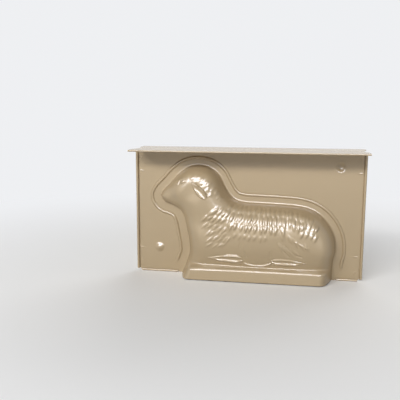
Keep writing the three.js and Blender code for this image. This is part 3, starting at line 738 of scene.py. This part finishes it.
def foldTree():
    tree = GeometryTree("foldedEdge", {"Sweep": "Vector", "Sheet": "Float", "Flare": "Float",
                                       "Flare Start": "Float", "Flare End": "Float",
                                       "Material": "Material"})
    given = tree.given
    skin = tree.add("GeometryNodeExtrudeMesh", dict(mode="EDGES"),
                    {"Mesh": given, "Offset": given.out("Sweep"), "Offset Scale": 1.0})
    axes = tree.add("ShaderNodeSeparateXYZ", {}, {0: tree.add("GeometryNodeInputPosition")})
    depth = axes.out("Y").maths("ABSOLUTE", 0)
    flared = tree.add("ShaderNodeMapRange", dict(interpolation_type="SMOOTHSTEP"),
                      {"Value": depth, "From Min": given.out("Flare Start"),
                       "From Max": given.out("Flare End")})
    wider = tree.add("ShaderNodeCombineXYZ", {}, {0: axes * flared * given.out("Flare")})
    skin = tree.add("GeometryNodeSetPosition", {}, {"Geometry": skin, "Offset": wider})
    tree.finishWith(thicken(tree, skin, given.out("Sheet")))
    return tree


def foldMesh(tree, half, moves, away, ends, flare=0):
    # away points out of the plate in its own plane, and the strip runs from end to end
    out, away = np.array((0, half["side"], 0)), np.array(away)
    along = np.cross(away, out)
    first, last = sorted((np.array(end, float) for end in ends), key=lambda end: end @ along)
    points = [first + away * u + out * v for u, v in foldLine(moves)]
    line = meshObject("fold", points, edges=[(i, i + 1) for i in range(len(points) - 1)])
    return tree.run(line, {"Sweep": tuple((last - first) * mm), "Sheet": tin["sheet"] * mm, "Flare": flare,
                           "Flare Start": tin["flareStart"] * mm, "Flare End": tin["flareEnd"] * mm,
                           "Material": half["coating"]})


def foldMeshes(tree, half):
    sheet, roll, lead = tin["sheet"], tin["rollTurn"], tin["lead"]
    run = tin["flangeDepth"] - tin["flangeRoll"] - tin["flangeBend"] - sheet
    bays = tin["flangeBays"]
    flange = [("run", lead, 0), ("bend", tin["flangeBend"], 90)] + [("run", run / bays, 0)] * bays \
        + [("bend", tin["flangeRoll"] - sheet, roll)]
    top = plateTop - lead
    meshes = [foldMesh(tree, half, flange, (0, 0, 1), [(-plateHalf, 0, top), (plateHalf, 0, top)],
                       tin["width"] / 2 / plateHalf - 1)]
    foot = [("bend", tin["footRoll"] - sheet, roll)]
    for inner, side in ((mouth[0] - footStart, -1), (mouth[1] + footStart, 1)):
        outer = side * (plateHalf - tin["cornerRadius"])
        ends = [(inner, 0, tin["footRoll"]), (outer, 0, tin["footRoll"])]
        meshes.append(foldMesh(tree, half, foot, (0, 0, -1), ends))
    if half["side"] > 0:
        lip = [("run", tin["lipGap"], 0), ("bend", tin["lipBend"] + sheet, -90),
               ("run", tin["lipHeight"] - tin["lipRoll"] - tin["lipBend"], 0),
               ("bend", tin["lipRoll"] - sheet, roll)]
        for side in (-1, 1):
            ends = [(side * plateHalf, 0, lipBottom), (side * plateHalf, 0, lipTop)]
            meshes.append(foldMesh(tree, half, lip, (side, 0, 0), ends))
    return meshes


def joinMeshes(name, meshes, material):
    shape = bmesh.new()
    for mesh in meshes:
        shape.from_mesh(mesh)
    for vertex in shape.verts:
        vertex.co.z = max(vertex.co.z, 0)
    joined = bpy.data.meshes.new(name)
    shape.to_mesh(joined)
    shape.free()
    joined.materials.clear()
    joined.materials.append(material)
    joined.polygons.foreach_set("use_smooth", [True] * len(joined.polygons))
    joined.set_sharp_from_angle(angle=math.radians(tin["sharpAngle"]))
    piece = bpy.data.objects.new(name, joined)
    bpy.context.scene.collection.objects.link(piece)
    return piece


press, fold, die = woolTree(), foldTree(), makeDie(tufts)
for body, half in halves.items():
    plate = meshObject(body + "Plate", *pressedFaces(half))
    pressed = press.run(plate, {"Die": die, "Sheet": tin["sheet"] * mm, "Material": half["coating"]})
    piece = joinMeshes(body + "Pressing", [pressed] + foldMeshes(fold, half), half["coating"])
    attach(piece, body)
    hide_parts(half["node"])
    print("scene:", piece.name, len(piece.data.polygons), "faces")
bpy.data.objects.remove(die)


# room: a pale floor that fades into a pale backdrop, soft lamps and the camera at the photograph's angle
room = dict(floor=(0.83, 0.825, 0.81), half=60, fadeFrom=0.0, fadeTo=0.7, backdrop=(0.86, 0.87, 0.89),
            sky=(1.0, 0.93, 0.84), skyStrength=0.06)
white = (1, 1, 1)
lamps = dict(  # the front and rear lamps light without a glare, and the cards show in reflections alone
    overhead=dict(at=(0.1, 0.1, 1.4), aim=(0.0, 0.1, 0.05), size=(0.7, 0.5), power=1.6, colour=white,
                  shine=True, light=True),
    front=dict(at=(-0.66, -1.81, 1.22), aim=(0, 0, 0.08), size=(2.1, 0.26), power=46, colour=white,
               shine=False, light=True),
    rear=dict(at=(0.5, 1.9, 0.95), aim=(0, 0, 0.08), size=(2.4, 0.8), power=34, colour=white,
              shine=False, light=True),
    rearCard=dict(at=(0.24, 1.8, 1.5), aim=(0, 0, 0.08), size=(2.7, 1.0), power=18, colour=white,
                  shine=True, light=False),
    card=dict(at=(-0.24, -1.9, 1.24), aim=(0, 0, 0.08), size=(2.7, 1.0), power=114,
              colour=(0.9, 0.96, 1.14), shine=True, light=False),
)


def seenDirectly(tree):
    # 1 for camera, glossy and transmission rays
    path = tree.add("ShaderNodeLightPath")
    seen = path.maths("MAXIMUM", path.out("Is Glossy Ray"))
    return seen.maths("MAXIMUM", path.out("Is Transmission Ray"))


def makeFloor():
    half = room["half"] / mm
    floor = meshObject("floor", [(-half, -half, 0), (half, -half, 0), (half, half, 0), (-half, half, 0)],
                       [(0, 1, 2, 3)])
    material = bpy.data.materials.new("paleFloor")
    material.use_nodes = True
    material.node_tree.nodes.clear()
    tree = NodeTree(material.node_tree)
    place = tree.add("ShaderNodeTexCoord", output="Object")
    away = tree.add("ShaderNodeVectorMath", dict(operation="LENGTH"), {0: place}, "Value")
    far = tree.add("ShaderNodeMapRange", dict(interpolation_type="SMOOTHSTEP"),
                   {"Value": away, "From Min": room["fadeFrom"], "From Max": room["fadeTo"]})
    matte = tree.add("ShaderNodeBsdfDiffuse", {}, {"Color": (*room["floor"], 1)})
    glow = tree.add("ShaderNodeEmission", {}, {"Color": (*room["backdrop"], 1), "Strength": 1.0})
    mixed = tree.add("ShaderNodeMixShader", {}, {0: far * seenDirectly(tree), 1: matte, 2: glow})
    tree.add("ShaderNodeOutputMaterial", {}, {"Surface": mixed})
    floor.data.materials.append(material)


def makeLamp(name, lamp):
    light = bpy.data.lights.new(name, "AREA")
    light.shape = "RECTANGLE"
    light.size, light.size_y = lamp["size"]
    light.energy = lamp["power"]
    light.color = lamp["colour"]
    piece = bpy.data.objects.new(name, light)
    piece.location = lamp["at"]
    aim = Vector(lamp["aim"]) - Vector(lamp["at"])
    piece.rotation_euler = aim.to_track_quat("-Z", "Y").to_euler()
    piece.visible_camera = False
    piece.visible_glossy, piece.visible_diffuse = lamp["shine"], lamp["light"]
    bpy.context.scene.collection.objects.link(piece)


def makeWorld():
    world = bpy.data.worlds.new("paleRoom")
    world.use_nodes = True
    world.node_tree.nodes.clear()
    tree = NodeTree(world.node_tree)
    sky = tree.add("ShaderNodeBackground", {}, {"Color": (*room["sky"], 1),
                                                "Strength": room["skyStrength"]})
    backdrop = tree.add("ShaderNodeBackground", {}, {"Color": (*room["backdrop"], 1), "Strength": 1.0})
    mixed = tree.add("ShaderNodeMixShader", {}, {0: seenDirectly(tree), 1: sky, 2: backdrop})
    tree.add("ShaderNodeOutputWorld", {}, {"Surface": mixed})
    bpy.context.scene.world = world


def makeCamera():
    # fitted to the tin's corners in the photograph
    view = dict(lens=50.96, sensor=36, clipStart=0.01, at=(0.0614, -0.6589, 0.2020), yaw=-10.16,
                pitch=9.48, roll=0.14)
    yaw, pitch, roll = (math.radians(view[key]) for key in ("yaw", "pitch", "roll"))
    forward = Vector((math.sin(yaw) * math.cos(pitch), math.cos(yaw) * math.cos(pitch), -math.sin(pitch)))
    level = Vector((math.cos(yaw), -math.sin(yaw), 0))
    upright = level.cross(forward)
    right = level * math.cos(roll) + upright * math.sin(roll)
    up = upright * math.cos(roll) - level * math.sin(roll)
    data = bpy.data.cameras.new("camera")
    data.lens, data.sensor_width, data.clip_start = view["lens"], view["sensor"], view["clipStart"]
    camera = bpy.data.objects.new("camera", data)
    bpy.context.scene.collection.objects.link(camera)
    turn = Matrix((right, up, -forward)).transposed().to_4x4()
    camera.matrix_world = Matrix.Translation(view["at"]) @ turn
    bpy.context.scene.camera = camera


makeFloor()
for name, lamp in lamps.items():
    makeLamp(name, lamp)
makeWorld()
makeCamera()
bpy.context.scene.view_settings.view_transform = "Standard"
print("scene: room, lamps and camera ready")
